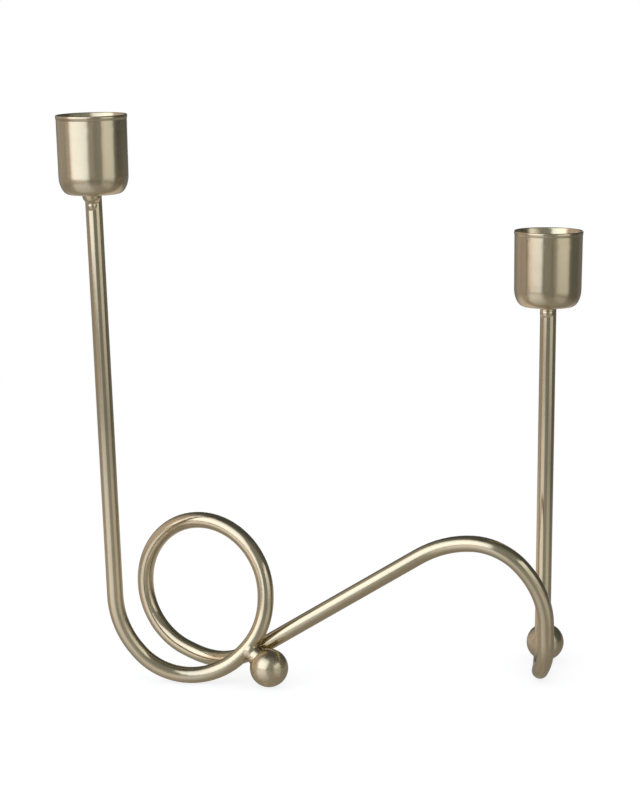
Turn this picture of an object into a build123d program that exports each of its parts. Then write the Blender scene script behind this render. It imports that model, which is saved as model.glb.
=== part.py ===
from build123d import *
from math import cos, radians, sin, tan
import os

os.makedirs("parts", exist_ok=True)

# Round bar and balls, millimetres
rod_diameter = 6.0
ball_diameter = 14.2
rod_radius = rod_diameter / 2
ball_radius = ball_diameter / 2

# Candle cups: a bore for a dinner candle, a thin wall and a flat bottom with a soft corner
candle_diameter = 22.0
candle_clearance = 0.5
cup_wall = 1.1
cup_height = 28.05
cup_floor = 1.6
cup_taper = 0.16
cup_corner_width = 3.65
cup_corner_height = 6.7
rim_lip = 0.14
rim_height = 1.2
rim_round = 0.25
bore_radius = candle_diameter / 2 + candle_clearance
cup_radius = bore_radius + cup_wall
rim_radius = cup_radius + rim_lip
bore_corner = cup_corner_width - cup_wall

# Stems: heights of the two cup bottoms above the table, how the tall side leans, and how far each
# cup stands off its stem's axis
tall_stem_height = 181.6
short_stem_height = 137.9
tall_stem_lean = 2.05
tall_stem_nod = 1.0
tall_cup_lean = 1.2
tall_cup_shift = 0.4
short_cup_shift = -0.35

# Loop: an upright ring of rod, turned so that its right side comes forward
loop_radius = 25.7
loop_lift = 7.4
loop_turn = 26.2
loop_first_angle = 19.3
loop_step_angle = 42.4
loop_corner_count = 7
loop_height = loop_lift + loop_radius

# Short side: the upright stem, the U bend on the table and the arch before it
short_stem_across = 127.7
short_stem_back = 9.3
u_bend_width = 29.8
u_turn_angle = 45.0
arch_height = 55.05
arch_reach = 39.3
arch_drift = 7.8

# Places along the bar, as shares of the sizes that they follow
stem_bend_share = (-0.886, 1.012, 0.838)
table_start_share = (-0.36, 0.70)
table_end_share = (0.445, 0.40)
loop_entry_share = (1.05, 0.57, 0.778)
loop_exit_share = (0.608, 0.23, 1.07)
arch_across_shares = (1.0, 0.479, 0.077)
arch_height_shares = (1.0, 1.015, 0.682)
arch_drift_shares = (-0.167, 1.0, 0.968)
u_corner_share = (1 - tan(radians(u_turn_angle / 2))) / 2
u_bow_shares = (0.052, 0.109, 0.041)
front_ball_share = 0.947
rear_ball_share = 0.06

# Welds: under each cup a flare runs down to a round drop on the front of the bar, the rest are
# round beads, the balls stand a root gap off and the bar passes itself at a pass gap
tall_weld_top_radius = 3.5
tall_weld_flare_radius = 3.2
tall_weld_drop_radius = 2.0
tall_weld_drop_depth = 4.1
tall_weld_proud = 0.9
tall_weld_turn = 22.0
short_weld_top_radius = 3.3
short_weld_flare_radius = 2.0
short_weld_drop_radius = 2.9
short_weld_drop_depth = 2.3
short_weld_proud = 0.5
short_weld_turn = 0.0
weld_neck_angle = 28.0
weld_root_gap = 0.2
pass_gap = 0.13
front_weld_radius = 3.7
front_weld_share = 0.42
front_lobe_radius = 3.5
front_lobe_share = 0.12
rear_weld_radius = 2.8
crossing_bead_radius = 2.8
crossing_bead_shares = (0.317, 0.2, 0.388)

# Making allowances: extra length that a cut takes off, and the steps that bring the bar's two
# passes and the rolling balls to their gaps
cut_allowance = 1.0
pass_steps = 6
roll_steps = 60
nearly_half_share = 0.4995


# A point by the loop: along the loop's plane, in front of it, and above the table
def by_loop(along, in_front, height):
    turn = radians(loop_turn)
    across = along * cos(turn) - in_front * sin(turn)
    back = -along * sin(turn) - in_front * cos(turn)
    return Vector(across, back, height)


# A point by the short stem: to its left, in front of it, and above the table
def by_short_stem(left, in_front, height):
    return Vector(short_stem_across - left, short_stem_back - in_front, height)


# The bend at a corner takes nearly half of the shorter run beside it
def bend_radius(before, corner, after):
    arriving = corner - before
    leaving = after - corner
    half_turn = radians(arriving.get_angle(leaving) / 2)
    return nearly_half_share * min(arriving.length, leaving.length) / tan(half_turn)


# The bar's route, corner by corner, from the tall cup to the short cup
stem_bend = by_loop(*[share * loop_radius for share in stem_bend_share])
rise = tall_stem_height - stem_bend.Z
tall_lean = Vector(-tan(radians(tall_stem_lean)), -tan(radians(tall_stem_nod)), 1)
tall_top = stem_bend + tall_lean * rise
table_start = by_loop(*[share * loop_radius for share in table_start_share], rod_radius)
table_end = by_loop(*[share * loop_radius for share in table_end_share], rod_radius)
entry_along, entry_front, entry_height = loop_entry_share
loop_entry = by_loop(entry_along * loop_radius, entry_front * rod_diameter, entry_height * loop_radius)

loop_points = []
outer_radius = loop_radius / cos(radians(loop_step_angle / 2))
for number in range(loop_corner_count):
    angle = radians(loop_first_angle + number * loop_step_angle)
    loop_points.append(by_loop(outer_radius * cos(angle), 0, loop_height + outer_radius * sin(angle)))

arch_points = []
for left, height, drift in zip(arch_across_shares, arch_height_shares, arch_drift_shares):
    in_front = u_bend_width + drift * arch_drift
    arch_points.append(by_short_stem(left * arch_reach, in_front, height * arch_height))

u_side_height = rod_radius + u_corner_share * u_bend_width
u_front_bow, u_first_bow, u_second_bow = [share * u_bend_width for share in u_bow_shares]
u_points = [
    by_short_stem(u_front_bow, u_bend_width, u_side_height),
    by_short_stem(u_first_bow, u_bend_width * (1 - u_corner_share), rod_radius),
    by_short_stem(u_second_bow, u_bend_width * u_corner_share, rod_radius),
    by_short_stem(0, 0, u_side_height),
]
short_top = by_short_stem(0, 0, short_stem_height)

route_before = [tall_top + tall_lean * cut_allowance, stem_bend, table_start, table_end, loop_entry]
route_before += loop_points
route_after = arch_points + u_points + [short_top]

# Leaving the loop, the bar stands back until it passes its own rising part at the pass gap
exit_along, exit_front, exit_height = loop_exit_share
exit_in_front = exit_front * rod_diameter
for step in range(pass_steps):
    loop_exit = by_loop(exit_along * loop_radius, exit_in_front, exit_height * loop_lift)
    route = route_before + [loop_exit] + route_after
    bends = [bend_radius(*route[index - 1:index + 2]) for index in range(1, len(route) - 1)]
    with BuildLine() as trial_line:
        FilletPolyline(*route, radius=bends)
    rising_arc = trial_line.edges().sort_by_distance(loop_entry)[0]
    leaving_arc = trial_line.edges().sort_by_distance(loop_exit)[0]
    exit_in_front += rising_arc.distance_to(leaving_arc) - rod_diameter - pass_gap


# A ball rolls over the table towards the bar until only the root gap of its weld is left
def rolled_up(across, start, heading):
    depth = start
    for step in range(roll_steps):
        gap = trial_line.line.distance_to(Vector(across, depth, ball_radius))
        depth += heading * (gap - rod_radius - weld_root_gap - ball_radius)
    return Vector(across, depth, ball_radius)


front_start = by_short_stem(0, u_bend_width + arch_drift + ball_diameter, 0).Y
rear_start = short_stem_back + rod_diameter + ball_diameter
front_ball = rolled_up(front_ball_share * loop_radius, front_start, 1)
rear_ball = rolled_up(short_stem_across + rear_ball_share * u_bend_width, rear_start, -1)

# The origin is on the table, under the middle of the whole holder
tall_cup_axis = Vector(-tan(radians(tall_cup_lean)), -tan(radians(tall_stem_nod)), 1).normalized()
tall_seat = tall_top + Vector(tall_cup_shift, 0, 0)
tall_rim = tall_seat + tall_cup_axis * cup_height
short_seat = short_top + Vector(short_cup_shift, 0, 0)
bar_box = trial_line.line.bounding_box()
reaches = [(tall_rim, rim_radius), (short_seat, rim_radius)]
reaches += [(front_ball, ball_radius), (rear_ball, ball_radius)]
reaches += [(bar_box.min, rod_radius), (bar_box.max, rod_radius)]
left_edge = min(point.X - reach for point, reach in reaches)
right_edge = max(point.X + reach for point, reach in reaches)
front_edge = min(point.Y - reach for point, reach in reaches)
back_edge = max(point.Y + reach for point, reach in reaches)
to_middle = Vector(-(left_edge + right_edge) / 2, -(front_edge + back_edge) / 2, 0)

route = [point + to_middle for point in route]
front_ball += to_middle
rear_ball += to_middle
loop_entry += to_middle
loop_exit += to_middle
tall_seat += to_middle
short_seat += to_middle

tall_plane = Plane(origin=tall_seat, x_dir=Vector(0, 1, 0).cross(tall_cup_axis), z_dir=tall_cup_axis)
short_plane = Plane(origin=short_seat)

# Bent rod: one bar from cup to cup, its tall end cut to sit flat under the leaning cup
with BuildPart() as bent_rod:
    with BuildLine() as rod_line:
        FilletPolyline(*route, radius=bends)
    with BuildSketch(Plane(origin=rod_line.line @ 0, z_dir=rod_line.line % 0)):
        Circle(rod_radius)
    sweep()
    split(bisect_by=tall_plane, keep=Keep.BOTTOM)
bent_rod.part.label = "bent_rod"
export_step(bent_rod.part, "parts/bent_rod.step")

# Candle cups: half of the wall's section, turned about the cup's axis
for name, plane in (("tall_candle_cup", tall_plane), ("short_candle_cup", short_plane)):
    with BuildPart() as candle_cup:
        with BuildSketch(Plane(plane.origin, x_dir=plane.x_dir, z_dir=-plane.y_dir)):
            with BuildLine():
                corner_radius = cup_radius - cup_taper
                flat_end = (corner_radius - cup_corner_width, 0)
                wall_start = (corner_radius, cup_corner_height)
                lip_start = (cup_radius, cup_height - rim_height - rim_lip)
                lip_bottom = (rim_radius, cup_height - rim_height)
                bore_start = (bore_radius, cup_floor + bore_corner)
                floor_end = (bore_radius - bore_corner, cup_floor)
                Line((0, 0), flat_end)
                EllipticalCenterArc(
                    (flat_end[0], cup_corner_height), cup_corner_width, cup_corner_height,
                    start_angle=270, arc_size=90)
                Polyline(wall_start, lip_start, lip_bottom, (rim_radius, cup_height))
                Polyline((rim_radius, cup_height), (bore_radius, cup_height), bore_start)
                RadiusArc(bore_start, floor_end, bore_corner)
                Polyline(floor_end, (0, cup_floor), (0, 0))
            make_face()
        revolve(axis=Axis(plane.origin, plane.z_dir))
        rim_edges = candle_cup.edges().filter_by(GeomType.CIRCLE).filter_by(
            lambda edge: edge.radius > bore_radius - rim_round)
        top_edges = rim_edges.sort_by(Axis(plane.origin, plane.z_dir))[-2:]
        fillet(top_edges, radius=rim_round)
    candle_cup.part.label = name
    export_step(candle_cup.part, f"parts/{name}.step")

# Ball feet: solid balls on the table, each a root gap away from the bar
for name, place in (("front_ball_foot", front_ball), ("rear_ball_foot", rear_ball)):
    with BuildPart() as ball_foot:
        with Locations(place):
            Sphere(ball_radius)
    ball_foot.part.label = name
    export_step(ball_foot.part, f"parts/{name}.step")

# Cup welds: the section of flare and drop, turned about an upright line by the front of the bar
tall_flare = (tall_weld_top_radius, tall_weld_flare_radius)
tall_drop = (tall_weld_drop_radius, tall_weld_drop_depth, tall_weld_proud, tall_weld_turn)
short_flare = (short_weld_top_radius, short_weld_flare_radius)
short_drop = (short_weld_drop_radius, short_weld_drop_depth, short_weld_proud, short_weld_turn)
for name, plane, flare, drop in (
        ("tall_cup_weld", tall_plane, tall_flare, tall_drop),
        ("short_cup_weld", short_plane, short_flare, short_drop)):
    top_radius, flare_radius = flare
    drop_radius, drop_depth, proud, turn = drop
    off_axis = rod_radius + proud - drop_radius
    in_front = off_axis * cos(radians(turn))
    weld_top = plane.from_local_coords((-off_axis * sin(radians(turn)), -in_front, 0))
    with BuildPart() as cup_weld:
        with BuildSketch(Plane(weld_top, x_dir=plane.x_dir, z_dir=-plane.y_dir)):
            with BuildLine():
                drop_arc = CenterArc((0, -drop_depth), drop_radius, -90, 90 + weld_neck_angle)
                RadiusArc((top_radius, 0), drop_arc @ 1, flare_radius)
                Polyline((top_radius, 0), (0, 0), drop_arc @ 0)
            make_face()
        revolve(axis=Axis(weld_top, plane.z_dir))
        add(bent_rod.part, mode=Mode.SUBTRACT)
    cup_weld.part.label = name
    export_step(cup_weld.part, f"parts/{name}.step")

# Crossing weld: a bead in the notch beside the place where the bar passes itself
rising_arc = rod_line.edges().sort_by_distance(loop_entry)[0]
leaving_arc = rod_line.edges().sort_by_distance(loop_exit)[0]
front_pass, rear_pass = rising_arc.distance_to_with_closest_points(leaving_arc)[1:]
bead_offset = by_loop(*[share * rod_diameter for share in crossing_bead_shares])
with BuildPart() as crossing_weld:
    with Locations((front_pass + rear_pass) / 2 + bead_offset):
        Sphere(crossing_bead_radius)
    add(bent_rod.part, mode=Mode.SUBTRACT)
crossing_weld.part.label = "crossing_weld"
export_step(crossing_weld.part, "parts/crossing_weld.step")

# Front foot weld: a neck between the rising bar and the front ball, with a lobe over the bar
bar_by_ball = rising_arc.distance_to_with_closest_points(front_ball)[1]
with BuildPart() as front_foot_weld:
    for share, radius in ((front_weld_share, front_weld_radius), (front_lobe_share, front_lobe_radius)):
        with Locations(bar_by_ball + (front_ball - bar_by_ball) * share):
            Sphere(radius)
    add(bent_rod.part, mode=Mode.SUBTRACT)
    add(crossing_weld.part, mode=Mode.SUBTRACT)
    with Locations(front_ball):
        Sphere(ball_radius, mode=Mode.SUBTRACT)
front_foot_weld.part.label = "front_foot_weld"
export_step(front_foot_weld.part, "parts/front_foot_weld.step")

# Rear foot weld: a bead round the place where the U bend meets the rear ball
bar_by_ball = rod_line.line.distance_to_with_closest_points(rear_ball)[1]
with BuildPart() as rear_foot_weld:
    with Locations(bar_by_ball + (rear_ball - bar_by_ball).normalized() * (rod_radius + weld_root_gap / 2)):
        Sphere(rear_weld_radius)
    add(bent_rod.part, mode=Mode.SUBTRACT)
    with Locations(rear_ball):
        Sphere(ball_radius, mode=Mode.SUBTRACT)
rear_foot_weld.part.label = "rear_foot_weld"
export_step(rear_foot_weld.part, "parts/rear_foot_weld.step")
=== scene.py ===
# %% [markdown]
# # Spiral candle holder: the looks
# The holder is one round bar with a loop, an arch and a U bend in it, two candle cups and two ball
# feet, welded into one frame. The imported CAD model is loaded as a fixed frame. This script gives it
# its metal, its welds, its cup mouths, a pale table, a small studio and a camera at the
# photograph's viewing angle. No CAD piece is moved, and no CAD corner or face is changed. All sizes
# are in metres, as everywhere in Blender, so a millimetre is 0.001.

# %% Tools and the CAD frame
import math

import bmesh
import bpy
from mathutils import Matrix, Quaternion, Vector
from mathutils.bvhtree import BVHTree


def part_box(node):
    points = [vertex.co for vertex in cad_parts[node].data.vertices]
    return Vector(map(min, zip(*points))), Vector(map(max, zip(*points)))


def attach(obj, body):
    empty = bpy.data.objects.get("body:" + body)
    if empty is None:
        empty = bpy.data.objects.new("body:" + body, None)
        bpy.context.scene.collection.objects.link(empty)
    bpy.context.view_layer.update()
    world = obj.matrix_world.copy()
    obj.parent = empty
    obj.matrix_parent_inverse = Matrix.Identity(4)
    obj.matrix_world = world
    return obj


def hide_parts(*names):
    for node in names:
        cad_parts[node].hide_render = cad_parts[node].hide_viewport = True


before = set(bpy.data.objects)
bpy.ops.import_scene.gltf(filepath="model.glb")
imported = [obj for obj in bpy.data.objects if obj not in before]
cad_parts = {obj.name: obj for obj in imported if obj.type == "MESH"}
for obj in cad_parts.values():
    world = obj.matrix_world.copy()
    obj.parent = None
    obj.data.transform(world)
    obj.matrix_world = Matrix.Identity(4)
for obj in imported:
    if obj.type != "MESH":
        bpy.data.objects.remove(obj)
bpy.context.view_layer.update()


# %% [markdown]
# ## Small helpers for node trees
# A material is a tree of nodes joined by links. Written out in full, such a tree is long and hard
# to read. So three short helpers make a node, join two sockets, and set the numbers on a node's
# own sockets.

# %% Node helpers
def new_node(tree, kind, **settings):
    """A new node of that kind, with its settings."""
    node = tree.nodes.new(kind)
    for name, value in settings.items():
        setattr(node, name, value)
    return node


def link(tree, source, target):
    """Joins an output to an input."""
    tree.links.new(source, target)


def set_inputs(node, **values):
    """Sets a node's own sockets, where an underscore in the name stands for a space."""
    for name, value in values.items():
        node.inputs[name.replace("_", " ")].default_value = value


print("helpers for nodes, links and sockets ready")


# %% [markdown]
# ## Helpers that change a value or a colour
# Most effects here take one value and turn it into another, or into a colour. Three more helpers do
# this: one eases a value between two limits, one adds or multiplies, and one blends two colours.

# %% Value helpers
mix_color_a = 6
mix_color_b = 7
mix_color_result = 2


def mapped(tree, source, start, end, low, high):
    """A value eased from low to high while source goes from start to end."""
    node = new_node(tree, "ShaderNodeMapRange", interpolation_type="SMOOTHSTEP")
    set_inputs(node, From_Min=start, From_Max=end, To_Min=low, To_Max=high)
    link(tree, source, node.inputs["Value"])
    return node.outputs["Result"]


def calculated(tree, operation, first, second):
    """A sum or product of two values. The second may be a plain number."""
    node = new_node(tree, "ShaderNodeMath", operation=operation)
    link(tree, first, node.inputs[0])
    if isinstance(second, float):
        node.inputs[1].default_value = second
    else:
        link(tree, second, node.inputs[1])
    return node.outputs["Value"]


def blended(tree, source, start, first, end, last):
    """A colour that goes from first to last while source goes from start to end."""
    ramp = new_node(tree, "ShaderNodeValToRGB")
    ramp.color_ramp.elements[0].position = start
    ramp.color_ramp.elements[0].color = first
    ramp.color_ramp.elements[1].position = end
    ramp.color_ramp.elements[1].color = last
    link(tree, source, ramp.inputs["Fac"])
    return ramp.outputs["Color"]


print("a Mix node's colours are its sockets", mix_color_a, "and", mix_color_b)


# %% [markdown]
# ## The brass: colour
# The metal in the photograph is pale and looks polished. It is slightly cloudy, warmer in some
# places and greyer in others. An image of such metal would be flat and would have to be wrapped
# round the bar. Two noise textures do it without one: a cloud that depends on the place, and
# streaks that depend on the direction of the surface. On a straight bar the direction stays the
# same along its length, so noise made from it becomes fine lines along the bar and down the cups.

# %% Colour of the brass
cloud_scale = 55.0
cloud_start, cloud_end = 0.3, 0.7
deep_brass = (0.635, 0.53, 0.335, 1)
pale_brass = (0.705, 0.58, 0.37, 1)
stain_start, stain_end = 0.35, 0.65
grey_stain = (0.88, 0.97, 0.99, 1)
warm_stain = (1.09, 0.985, 0.95, 1)


def add_brass_color(group, place, streaks):
    """The cloudy brass colour, stained along the streaks."""
    clouds = new_node(group, "ShaderNodeTexNoise")
    set_inputs(clouds, Scale=cloud_scale, Detail=3.0, Roughness=0.55)
    link(group, place.outputs["Position"], clouds.inputs["Vector"])
    tint = blended(group, clouds.outputs["Fac"], cloud_start, deep_brass, cloud_end, pale_brass)
    stain = blended(group, streaks.outputs["Fac"], stain_start, grey_stain, stain_end, warm_stain)
    stained = new_node(group, "ShaderNodeMix", data_type="RGBA", blend_type="MULTIPLY")
    stained.inputs["Factor"].default_value = 1.0
    link(group, tint, stained.inputs[mix_color_a])
    link(group, stain, stained.inputs[mix_color_b])
    return stained.outputs[mix_color_result]


print("the clouds in the brass are about", round(1000 / cloud_scale), "mm wide")


# %% [markdown]
# ## The brass: fine relief
# The real surface has shallow dents and fine lines, far smaller than a millimetre. Real geometry
# that fine would be heavy and wouldn't show, so this relief is a bump: it tilts the normal that the
# light meets and leaves the shape alone. The lines use the same streaks as the colour, so that a
# line and its stain lie together.

# %% Relief of the brass
dent_scale = 140.0
dent_depth = 0.0004
streak_depth = 0.0001


def add_bump(group, height, depth, strength):
    """A bump of that depth, whose strength each material sets."""
    bump = new_node(group, "ShaderNodeBump")
    set_inputs(bump, Distance=depth)
    link(group, strength, bump.inputs["Strength"])
    link(group, height, bump.inputs["Height"])
    return bump


def add_brass_relief(group, place, streaks, inputs):
    """The normal of the brass, dented and then streaked."""
    dents = new_node(group, "ShaderNodeTexNoise")
    set_inputs(dents, Scale=dent_scale, Detail=2.0, Roughness=0.5)
    link(group, place.outputs["Position"], dents.inputs["Vector"])
    dented = add_bump(group, dents.outputs["Fac"], dent_depth, inputs.outputs["Dents"])
    streaked = add_bump(group, streaks.outputs["Fac"], streak_depth, inputs.outputs["Streaks"])
    link(group, dented.outputs["Normal"], streaked.inputs["Normal"])
    return streaked.outputs["Normal"]


print("dents up to", dent_depth * 1000, "mm, streaks up to", streak_depth * 1000, "mm")


# %% [markdown]
# ## The brass: one node group
# All the brass pieces share these effects and differ only in how much of each they want. A node
# group holds them once, with an input for each amount. It puts out a colour, a roughness and a
# normal. The roughness wavers a little with the streaks, as it does on worn metal.

# %% Node group of the brass
streak_scale = 12.0
waver_start, waver_end = 0.3, 0.7
roughness_waver = 0.05


def drawn_metal_group():
    """Colour, roughness and normal of the brass, from the place and the normal."""
    group = bpy.data.node_groups.new("drawn_metal", "ShaderNodeTree")
    for name in ("Mean Roughness", "Streaks", "Dents"):
        group.interface.new_socket(name, in_out="INPUT", socket_type="NodeSocketFloat")
    group.interface.new_socket("Color", in_out="OUTPUT", socket_type="NodeSocketColor")
    group.interface.new_socket("Roughness", in_out="OUTPUT", socket_type="NodeSocketFloat")
    group.interface.new_socket("Normal", in_out="OUTPUT", socket_type="NodeSocketVector")
    inputs = new_node(group, "NodeGroupInput")
    outputs = new_node(group, "NodeGroupOutput")
    place = new_node(group, "ShaderNodeNewGeometry")

    streaks = new_node(group, "ShaderNodeTexNoise")
    set_inputs(streaks, Scale=streak_scale, Detail=5.0, Roughness=0.65)
    link(group, place.outputs["True Normal"], streaks.inputs["Vector"])
    link(group, add_brass_color(group, place, streaks), outputs.inputs["Color"])
    link(group, add_brass_relief(group, place, streaks, inputs), outputs.inputs["Normal"])
    uneven = mapped(
        group, streaks.outputs["Fac"], waver_start, waver_end, -roughness_waver, roughness_waver
    )
    roughness = calculated(group, "ADD", inputs.outputs["Mean Roughness"], uneven)
    link(group, roughness, outputs.inputs["Roughness"])
    return group


drawn_metal = drawn_metal_group()
print("node group", drawn_metal.name, "has", len(drawn_metal.nodes), "nodes")


# %% [markdown]
# ## Four brasses
# The bar, the cups, the balls and the welds have one colour and a different surface. In the
# photograph the edges of the stripes are sharper on the bar than on the cups and balls, the cups
# show fine lines, and the welds are uneven. The numbers were chosen by comparing renders with it.
# A weak clear coat softens all four, as a thin film on the metal would. What is the same all over a
# piece, such as the coat, is a plain number on the shader's own socket.

# %% Brass materials
coat = {"Coat_Weight": 0.25, "Coat_Roughness": 0.12, "Coat_IOR": 1.5}


def brass_material(name, roughness, streaks, dents):
    """A brass with its own roughness and its own share of streaks and dents."""
    material = bpy.data.materials.new(name)
    material.use_nodes = True
    tree = material.node_tree
    shader = tree.nodes["Principled BSDF"]
    set_inputs(shader, Metallic=1.0, **coat)
    metal = new_node(tree, "ShaderNodeGroup", node_tree=drawn_metal)
    set_inputs(metal, Mean_Roughness=roughness, Streaks=streaks, Dents=dents)
    link(tree, metal.outputs["Color"], shader.inputs["Base Color"])
    link(tree, metal.outputs["Roughness"], shader.inputs["Roughness"])
    link(tree, metal.outputs["Normal"], shader.inputs["Normal"])
    return material


rod_brass = brass_material("rod_brass", roughness=0.17, streaks=0.1, dents=0.05)
cup_brass = brass_material("cup_brass", roughness=0.22, streaks=0.9, dents=0.12)
ball_brass = brass_material("ball_brass", roughness=0.25, streaks=0.0, dents=0.05)
weld_brass = brass_material("weld_brass", roughness=0.21, streaks=0.0, dents=0.5)
print("made", rod_brass.name, cup_brass.name, ball_brass.name, weld_brass.name)

# %% [markdown]
# ## Brass on every CAD piece
# Each CAD piece gets its brass and smooth shading. Its corners and faces stay as they came.

# %% Brass of each piece
node_brass = {
    "bent_rod": rod_brass,
    "tall_candle_cup": cup_brass,
    "short_candle_cup": cup_brass,
    "front_ball_foot": ball_brass,
    "rear_ball_foot": ball_brass,
    "tall_cup_weld": weld_brass,
    "short_cup_weld": weld_brass,
    "front_foot_weld": weld_brass,
    "crossing_weld": weld_brass,
    "rear_foot_weld": weld_brass,
}
for name, material in node_brass.items():
    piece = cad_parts[name]
    piece.data.materials.clear()
    piece.data.materials.append(material)
    for polygon in piece.data.polygons:
        polygon.use_smooth = True
print(len(node_brass), "pieces have their brass")


# %% [markdown]
# ## Pieces that stand for CAD pieces
# Where the real surface is finer than the CAD, a copy with the finer shape is shown in the CAD
# piece's place. The copy rides on the body root.

# %% Showing a finer piece
def show_instead(name, node, mesh, material):
    """Shows mesh, in that material, instead of a CAD node."""
    for polygon in mesh.polygons:
        polygon.use_smooth = True
    mesh.materials.clear()
    mesh.materials.append(material)
    shown = bpy.data.objects.new(name, mesh)
    bpy.context.scene.collection.objects.link(shown)
    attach(shown, "root")
    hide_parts(node)
    print(name, "has", len(mesh.vertices), "corners")


print("finer pieces can now be shown on the body root")


# %% [markdown]
# ## Flared cup mouths: where the rim is
# In the photograph the far inside of each cup is bright and shows both lamps. A straight bore sends
# the view down into the dark cup, so the mouths are taken to open like shallow funnels. The funnel
# has to be centred on the cup's own axis, and the taller cup leans. The middle of its rim is found
# halfway between the outermost corners of the upper edge.

# %% Middle of the rim
rim_reach = 0.00005


def rim_middle(shape, axis):
    """The middle of the cup's upper edge."""
    height = max(corner.co.dot(axis) for corner in shape.verts)
    edge = [corner.co for corner in shape.verts if corner.co.dot(axis) > height - rim_reach]
    middle = Vector()
    for way in range(3):
        along = [place[way] for place in edge]
        middle[way] = (min(along) + max(along)) / 2
    return middle


print("the rim is what lies within", rim_reach * 1000, "mm of the highest corner")

# %% [markdown]
# ## Flared cup mouths: the funnel
# A copy of each cup is cut into rings near the rim, because a wall without corners can't curve. The
# corners of the bore are then moved outward, most at the rim and not at all at the funnel's foot.
# The outside of the cup stays as it is. A Boolean cut with a cone is another way, but it makes new
# faces at the thin rim, and moving corners makes none.

# %% Cup mouths
mouth_flare = 0.00085
mouth_depth = 0.0042
mouth_rings = 7
bore_limit = 0.012
same_corner = 0.000001
crease_angle = math.radians(35)
tall_cup_lean = math.radians(1.2)
tall_cup_nod = math.radians(1.0)


def flare_mouth(node, lean, nod):
    """A copy of a cup whose bore opens like a shallow funnel just below the rim."""
    axis = Vector((-math.tan(lean), -math.tan(nod), 1)).normalized()
    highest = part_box(node)[1].z
    shape = bmesh.new()
    shape.from_mesh(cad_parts[node].data)
    bmesh.ops.remove_doubles(shape, verts=shape.verts, dist=same_corner)
    middle = rim_middle(shape, axis)
    for ring in range(mouth_rings):
        depth = mouth_depth * (ring + 1) / mouth_rings
        everything = [*shape.verts, *shape.edges, *shape.faces]
        bmesh.ops.bisect_plane(
            shape, geom=everything, plane_co=middle - axis * depth, plane_no=axis
        )
    for corner in shape.verts:
        along = (corner.co - middle).dot(axis)
        outward = corner.co - middle - axis * along
        share = 1 + along / mouth_depth
        if share > 0 and outward.length < bore_limit:
            corner.co += outward.normalized() * mouth_flare * share
        corner.co.z = min(corner.co.z, highest)
    mesh = bpy.data.meshes.new(node + "_flared")
    shape.to_mesh(mesh)
    shape.free()
    show_instead(node + "_flared", node, mesh, cup_brass)
    mesh.set_sharp_from_angle(angle=crease_angle)


flare_mouth("tall_candle_cup", tall_cup_lean, tall_cup_nod)
flare_mouth("short_candle_cup", 0.0, 0.0)


# %% [markdown]
# ## Dressed welds: copying the metal near a weld
# A weld is a deposit of filler metal that was once liquid. It wets the pieces it joins and runs
# into a hollow fillet, while the CAD welds meet the bar, the balls and the cups at sharp creases.
# Drawing such a fillet by hand is slow. It is easier to let it form: join copies of the pieces
# round the weld, turn them into one skin, and smooth that skin until its creases fill. The first
# step copies only the metal near the weld, and closes it where it is cut, so that it stays solid.

# %% Metal near a weld
same_weld_corner = 0.0000001
ways = (Vector((1, 0, 0)), Vector((0, 1, 0)), Vector((0, 0, 1)))


def add_near(shape, node, centre, reach):
    """Adds the part of a CAD node within reach of centre, closed where it is cut."""
    part = bmesh.new()
    part.from_mesh(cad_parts[node].data)
    bmesh.ops.remove_doubles(part, verts=part.verts, dist=same_weld_corner)
    for way in ways:
        for side in (way, -way):
            everything = [*part.verts, *part.edges, *part.faces]
            cut = bmesh.ops.bisect_plane(
                part, geom=everything, plane_co=centre + side * reach, plane_no=side,
                clear_outer=True,
            )
            ends = [item for item in cut["geom_cut"] if isinstance(item, bmesh.types.BMEdge)]
            if ends:
                bmesh.ops.holes_fill(part, edges=ends)
    part_mesh = bpy.data.meshes.new("part")
    part.to_mesh(part_mesh)
    part.free()
    shape.from_mesh(part_mesh)
    bpy.data.meshes.remove(part_mesh)


print("the metal near a weld is cut out by", 2 * len(ways), "planes")


# %% [markdown]
# ## Dressed welds: one skin
# The joined copies get three modifiers. Remesh turns them into one skin of small voxels, Smooth
# lets it flow until the creases fill, and Displace sinks it by a few hundredths of a millimetre, so
# that it dips under the bar and the balls and only the fillet stands out of them.

# %% Skin of a weld
weld_voxel = 0.00015
flow_share = 0.5
skin_sink = 0.00004


def flowed(shape, name, smoothing):
    """The joined pieces as one smooth skin."""
    mesh = bpy.data.meshes.new(name)
    shape.to_mesh(mesh)
    blank = bpy.data.objects.new(name, mesh)
    bpy.context.scene.collection.objects.link(blank)
    skin = blank.modifiers.new("skin", "REMESH")
    skin.mode = "VOXEL"
    skin.voxel_size = weld_voxel
    flow = blank.modifiers.new("flow", "SMOOTH")
    flow.factor = flow_share
    flow.iterations = smoothing
    sink = blank.modifiers.new("sink", "DISPLACE")
    sink.strength = -skin_sink
    sink.mid_level = 0.0
    settled = blank.evaluated_get(bpy.context.evaluated_depsgraph_get())
    skinned = bmesh.new()
    skinned.from_mesh(settled.to_mesh())
    settled.to_mesh_clear()
    bpy.data.objects.remove(blank)
    return skinned


print("weld voxels are", weld_voxel * 1000, "mm wide, and the skin sinks", skin_sink * 1000, "mm")


# %% [markdown]
# ## Dressed welds: trimming the skin
# The skin covers all the copied metal, and only the weld itself is wanted. A corner goes when it
# lies away from the weld, or deeper than a thin rim below a piece that stays in view. The rim is
# kept so that the skin ends under the surface and no gap opens at its edge.

# %% Trimmed weld
skin_rim = 0.00005


def is_hidden(place, low, high, surfaces):
    """True for a place away from the weld, or below the metal that stays in view."""
    for way in range(3):
        if place[way] < low[way] or place[way] > high[way]:
            return True
    for surface in surfaces:
        point, normal, _, _ = surface.find_nearest(place)
        if (point - place).dot(normal) > skin_rim:
            return True
    return False


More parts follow.
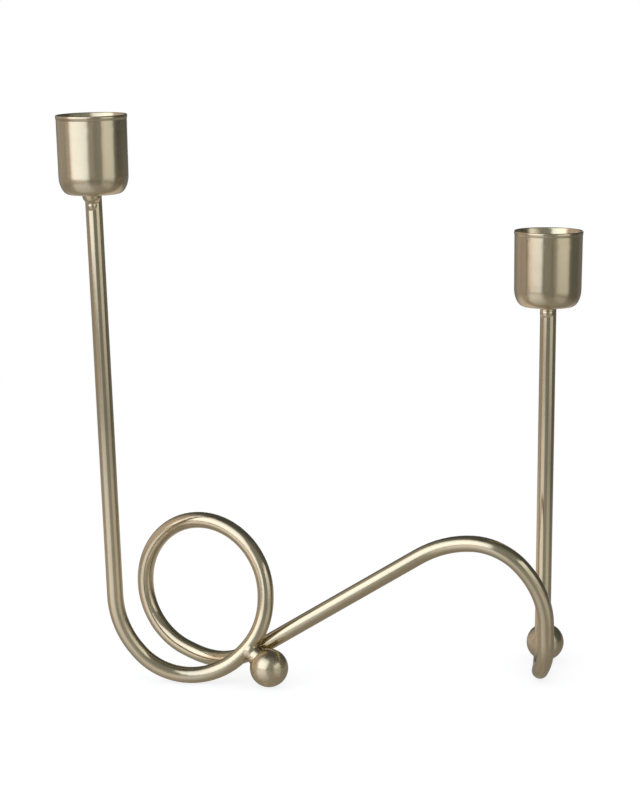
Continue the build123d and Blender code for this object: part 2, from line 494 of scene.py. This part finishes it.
def dress_weld(node, partners, welds, reach, keep, smoothing):
    """Makes a weld again as one smooth skin over its partners and the welds beside it."""
    low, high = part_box(node)
    centre = (low + high) / 2
    shape = bmesh.new()
    add_near(shape, node, centre, reach)
    surfaces = []
    for partner in partners:
        nearby = bmesh.new()
        add_near(nearby, partner, centre, reach)
        surfaces.append(BVHTree.FromBMesh(nearby))
        nearby.free()
        add_near(shape, partner, centre, reach)
    for weld in welds:
        add_near(shape, weld, centre, reach)
    patch = flowed(shape, node + "_blank", smoothing)
    shape.free()
    margin = Vector((keep, keep, keep))
    hidden = [
        corner
        for corner in patch.verts
        if is_hidden(corner.co, low - margin, high + margin, surfaces)
    ]
    bmesh.ops.delete(patch, geom=hidden, context="VERTS")
    mesh = bpy.data.meshes.new(node + "_dressed")
    patch.to_mesh(mesh)
    patch.free()
    show_instead(node + "_dressed", node, mesh, weld_brass)


print("the skin reaches", skin_rim * 1000, "mm below the metal round it")

# %% [markdown]
# ## Dressed welds: the five of them
# The cup welds flow less, so that they keep the bead seen under each cup. The foot welds flow more
# and become the smooth saddle between the bar and the ball. The two welds at the crossing touch, so
# each is smoothed together with the other.

# %% Five welds
cup_reach = 0.008
cup_keep = 0.0012
tall_cup_flow = 50
short_cup_flow = 40
foot_reach = 0.010
foot_keep = 0.0015
foot_flow = 60
front_pieces = ("bent_rod", "front_ball_foot")
rear_pieces = ("bent_rod", "rear_ball_foot")

dress_weld(
    "tall_cup_weld", ("bent_rod", "tall_candle_cup"), (), cup_reach, cup_keep, tall_cup_flow
)
dress_weld(
    "short_cup_weld", ("bent_rod", "short_candle_cup"), (), cup_reach, cup_keep, short_cup_flow
)
dress_weld("front_foot_weld", front_pieces, ("crossing_weld",), foot_reach, foot_keep, foot_flow)
dress_weld("crossing_weld", front_pieces, ("front_foot_weld",), foot_reach, foot_keep, foot_flow)
dress_weld("rear_foot_weld", rear_pieces, (), foot_reach, foot_keep, foot_flow)


# %% [markdown]
# ## The table as the camera sees it
# The photograph's table is so pale that it vanishes. White paper under stronger lamps would vanish
# too, but those lamps would wash out the metal. So the camera sees a mix of white paper, which takes
# the holder's shadow, and plain white, whose share grows with the distance until no edge is left.

# %% Table for the camera
shadow_reach = 0.12
plain_reach = 0.7
near_white = 0.8


def table_for_camera(tree, distance):
    """White paper that takes a shadow, and plain white farther out."""
    share = mapped(tree, distance, shadow_reach, plain_reach, near_white, 1.0)
    paper = new_node(tree, "ShaderNodeBsdfDiffuse")
    set_inputs(paper, Color=(1, 1, 1, 1))
    white = new_node(tree, "ShaderNodeEmission")
    set_inputs(white, Color=(1, 1, 1, 1), Strength=1.0)
    seen = new_node(tree, "ShaderNodeMixShader")
    link(tree, share, seen.inputs["Fac"])
    link(tree, paper.outputs["BSDF"], seen.inputs[1])
    link(tree, white.outputs["Emission"], seen.inputs[2])
    return seen.outputs["Shader"]


print("the table is plain white from", plain_reach, "m on")

# %% [markdown]
# ## The table as the metal sees it
# The underside of the bar and the balls mirror the table, and there the photograph shows it pale
# and not white. For glossy rays the table glows with painted light, a painted pool of light that is
# brightest behind the holder, where the backdrop's light falls, dimmer in front, and dimmer still
# far away. It also shines, and more at a flat angle, as a smooth table top does.

# %% Table for the metal
# Painted light on the table: its glow in front of and behind the holder, its fall far away, and its
# warm colour.
behind_slant = -0.5
behind_start, behind_end = -0.02, 0.07
front_painted_glow, behind_painted_glow = 0.32, 0.8
fall_start, fall_end = 0.2, 0.5
far_share = 0.3
painted_glow_color = (1.05, 1.0, 0.97, 1)
table_roughness = 0.35
flat_start, flat_end = 0.2, 0.95
steep_shine, flat_shine = 0.25, 0.66


def painted_table_glow(tree, position, distance):
    """How bright the table's painted light is, by its place."""
    split = new_node(tree, "ShaderNodeSeparateXYZ")
    link(tree, position, split.inputs["Vector"])
    aside = new_node(tree, "ShaderNodeMath", operation="ABSOLUTE")
    link(tree, split.outputs["X"], aside.inputs[0])
    slanted = calculated(tree, "MULTIPLY", aside.outputs["Value"], behind_slant)
    behind = calculated(tree, "ADD", slanted, split.outputs["Y"])
    level = mapped(tree, behind, behind_start, behind_end, front_painted_glow, behind_painted_glow)
    fall = mapped(tree, distance, fall_start, fall_end, 1.0, far_share)
    return calculated(tree, "MULTIPLY", level, fall)


def table_for_metal(tree, position, distance):
    """A table with painted light, brighter behind the holder, that mirrors more at a flat angle."""
    # Painted light: the table glows by itself, brightest behind the holder and fainter far away.
    pale = new_node(tree, "ShaderNodeEmission")
    set_inputs(pale, Color=painted_glow_color)
    link(tree, painted_table_glow(tree, position, distance), pale.inputs["Strength"])
    shine = new_node(tree, "ShaderNodeBsdfGlossy")
    set_inputs(shine, Color=(1, 1, 1, 1), Roughness=table_roughness)
    flatness = new_node(tree, "ShaderNodeLayerWeight")
    set_inputs(flatness, Blend=0.5)
    share = new_node(tree, "ShaderNodeMapRange")
    set_inputs(share, From_Min=flat_start, From_Max=flat_end, To_Min=steep_shine, To_Max=flat_shine)
    link(tree, flatness.outputs["Facing"], share.inputs["Value"])
    mirrored = new_node(tree, "ShaderNodeMixShader")
    link(tree, share.outputs["Result"], mirrored.inputs["Fac"])
    link(tree, pale.outputs["Emission"], mirrored.inputs[1])
    link(tree, shine.outputs["BSDF"], mirrored.inputs[2])
    return mirrored.outputs["Shader"]


print("the table glows", front_painted_glow, "in front of the holder and", behind_painted_glow, "behind it")


# %% [markdown]
# ## One material for the table
# Light Path tells which ray has come. A glossy ray left the metal and gets the metal's table. Every
# other ray gets the camera's.

# %% Table material
def table_material():
    """What the camera sees, or what the metal mirrors."""
    material = bpy.data.materials.new("pale_table")
    material.use_nodes = True
    tree = material.node_tree
    tree.nodes.clear()
    output = new_node(tree, "ShaderNodeOutputMaterial")
    rays = new_node(tree, "ShaderNodeLightPath")
    place = new_node(tree, "ShaderNodeNewGeometry")
    length = new_node(tree, "ShaderNodeVectorMath", operation="LENGTH")
    link(tree, place.outputs["Position"], length.inputs[0])
    distance = length.outputs["Value"]
    choose = new_node(tree, "ShaderNodeMixShader")
    link(tree, rays.outputs["Is Glossy Ray"], choose.inputs["Fac"])
    link(tree, table_for_camera(tree, distance), choose.inputs[1])
    link(tree, table_for_metal(tree, place.outputs["Position"], distance), choose.inputs[2])
    link(tree, choose.outputs["Shader"], output.inputs["Surface"])
    return material


pale_table = table_material()
print("table material has", len(pale_table.node_tree.nodes), "nodes")

# %% [markdown]
# ## The table's sheet
# The table is one square face at height zero, where the holder's lowest points are.

# %% Table
table_width = 6.0

table_mesh = bpy.data.meshes.new("table")
table_shape = bmesh.new()
bmesh.ops.create_grid(table_shape, x_segments=1, y_segments=1, size=table_width / 2)
table_shape.to_mesh(table_mesh)
table_shape.free()
table_mesh.materials.append(pale_table)
table = bpy.data.objects.new("table", table_mesh)
bpy.context.scene.collection.objects.link(table)
print("table", table_width, "m wide")


# %% [markdown]
# ## How a softbox is made
# Round metal shows the whole studio as stripes, so a lamp's size and place matter more than its
# power. An area lamp has the flat, even face of a softbox. The photograph's stripes fade along
# their length, so the cloth has its own brightness at the foot, the middle and the top. The power
# follows from the brightness of the cloth, so that a lamp made larger doesn't become brighter.

# %% Softbox helper
middle_height = 0.55


def softbox(name, place, target, size, roll, radiance, shares, color):
    """A softbox that looks at target. shares are its brightness at the foot, middle and top."""
    lamp = bpy.data.lights.new(name, "AREA")
    lamp.shape = "RECTANGLE"
    lamp.size, lamp.size_y = size
    lamp.energy = radiance * math.pi * size[0] * size[1]
    lamp.color = color
    lamp.use_nodes = True
    tree = lamp.node_tree
    cloth = new_node(tree, "ShaderNodeNewGeometry")
    parts = new_node(tree, "ShaderNodeSeparateXYZ")
    link(tree, cloth.outputs["Parametric"], parts.inputs["Vector"])
    fade = new_node(tree, "ShaderNodeValToRGB")
    fade.color_ramp.interpolation = "EASE"
    foot, middle, top = shares
    fade.color_ramp.elements[0].color = (foot, foot, foot, 1)
    fade.color_ramp.elements[1].color = (top, top, top, 1)
    fade.color_ramp.elements.new(middle_height).color = (middle, middle, middle, 1)
    link(tree, parts.outputs["Y"], fade.inputs["Fac"])
    link(tree, fade.outputs["Color"], tree.nodes["Emission"].inputs["Strength"])
    holder = bpy.data.objects.new(name, lamp)
    holder.location = place
    aim = (Vector(target) - Vector(place)).to_track_quat("-Z", "Y")
    holder.rotation_euler = (aim @ Quaternion((0, 0, 1), roll)).to_euler()
    holder.visible_camera = False
    bpy.context.scene.collection.objects.link(holder)
    print(name, "gives", round(lamp.energy, 2), "W")


print("a softbox has its middle brightness at", middle_height, "of its height")

# %% [markdown]
# ## The two softboxes
# The photograph's cups show a wide cool stripe and a narrower one, so a large softbox stands on the
# left and a smaller one on the right. The stripes' edges, followed back from both cups and from the
# loop, gave their first places and sizes. Renders were then compared to settle them.

# %% Softboxes
loop_middle = (-0.045, 0.0, 0.033)

softbox(
    "left_softbox",
    place=(-0.3185, -0.3147, 0.309),
    target=loop_middle,
    size=(0.58, 0.62),
    roll=math.radians(-4),
    radiance=1.32,
    shares=(0.85, 1.0, 0.55),
    color=(0.89, 1.0, 1.28),
)
softbox(
    "right_softbox",
    place=(0.39, -0.36, 0.16),
    target=(0.0, -0.30, 0.18),
    size=(0.48, 0.30),
    roll=0.0,
    radiance=1.14,
    shares=(0.33, 0.6, 1.0),
    color=(0.95, 1.0, 1.1),
)


# %% [markdown]
# ## The room as the metal sees it
# The dark sides are what makes metal look like metal: with white all round it would look like
# paper. The photograph's metal suggests a white backdrop straight behind the holder, a dim and
# slightly warm wall on the left, a dim front, and near darkness on the right. The direction of the
# ray gives each its brightness. So glossy rays see white only where the backdrop stands.

# %% Room for the metal
dark_level = 0.08
left_start, left_end, left_wall = -0.25, -0.9, 0.42
front_start, front_end, front_wall = 0.1, -0.9, 0.2
backdrop_start, backdrop_end = 0.975, 0.995
backdrop_top, backdrop_full = 0.25, 0.12
cool_room = (0.9, 1.0, 1.05, 1)
warm_wall = (1.12, 1.0, 1.0, 1)


def room_for_metal(tree):
    """The strength and colour of the studio, by direction."""
    direction = new_node(tree, "ShaderNodeTexCoord")
    split = new_node(tree, "ShaderNodeSeparateXYZ")
    link(tree, direction.outputs["Generated"], split.inputs["Vector"])
    left = mapped(tree, split.outputs["X"], left_start, left_end, 0.0, 1.0)
    left_level = calculated(tree, "MULTIPLY", left, left_wall)
    front_level = mapped(tree, split.outputs["Y"], front_start, front_end, 0.0, front_wall)
    walls = calculated(tree, "ADD", left_level, front_level)
    dim = calculated(tree, "ADD", walls, dark_level)
    straight = mapped(tree, split.outputs["Y"], backdrop_start, backdrop_end, 0.0, 1.0)
    low = mapped(tree, split.outputs["Z"], backdrop_top, backdrop_full, 0.0, 1.0)
    strength = new_node(tree, "ShaderNodeMix", data_type="FLOAT")
    link(tree, calculated(tree, "MULTIPLY", straight, low), strength.inputs["Factor"])
    link(tree, dim, strength.inputs["A"])
    strength.inputs["B"].default_value = 1.0
    warmth = new_node(tree, "ShaderNodeMix", data_type="RGBA")
    warmth.inputs[mix_color_a].default_value = cool_room
    warmth.inputs[mix_color_b].default_value = warm_wall
    link(tree, left, warmth.inputs[0])
    room = new_node(tree, "ShaderNodeBackground")
    link(tree, warmth.outputs[mix_color_result], room.inputs["Color"])
    link(tree, strength.outputs["Result"], room.inputs["Strength"])
    return room.outputs["Background"]


print("the left wall adds", left_wall, "and the front", front_wall, "to a level of", dark_level)

# %% [markdown]
# ## The world
# Every ray but a glossy one sees a plain white room, of strength 1, so the background of the
# picture is white without more light on the holder.

# %% World
world = bpy.data.worlds.new("studio")
bpy.context.scene.world = world
world.use_nodes = True
studio = world.node_tree
studio.nodes.clear()
studio_output = new_node(studio, "ShaderNodeOutputWorld")
studio_rays = new_node(studio, "ShaderNodeLightPath")
white_room = new_node(studio, "ShaderNodeBackground")
set_inputs(white_room, Color=(1, 1, 1, 1), Strength=1.0)
choose_room = new_node(studio, "ShaderNodeMixShader")
link(studio, studio_rays.outputs["Is Glossy Ray"], choose_room.inputs["Fac"])
link(studio, white_room.outputs["Background"], choose_room.inputs[1])
link(studio, room_for_metal(studio), choose_room.inputs[2])
link(studio, choose_room.outputs["Shader"], studio_output.inputs["Surface"])
print("world has", len(studio.nodes), "nodes")

# %% [markdown]
# ## Camera
# The camera stands straight in front, a little above the cups, and looks slightly down through a
# long lens, so that the two stems stay nearly parallel in the picture. Its place, its tilt and its
# lens were worked out from the flattening of the two cup rims and from the points where the holder
# touches the table.

# %% Camera
camera_place = (-0.001647, -0.816247, 0.247658)
camera_tilt = math.radians(9.925)

camera = bpy.data.cameras.new("camera")
camera.lens = 101.52
camera.sensor_width = 36.0
camera_object = bpy.data.objects.new("camera", camera)
camera_object.location = camera_place
camera_object.rotation_euler = (math.pi / 2 - camera_tilt, 0, 0)
bpy.context.scene.collection.objects.link(camera_object)
bpy.context.scene.camera = camera_object
bpy.context.scene.view_settings.view_transform = "Standard"
print("camera", round(-camera_place[1], 3), "m in front of the holder")
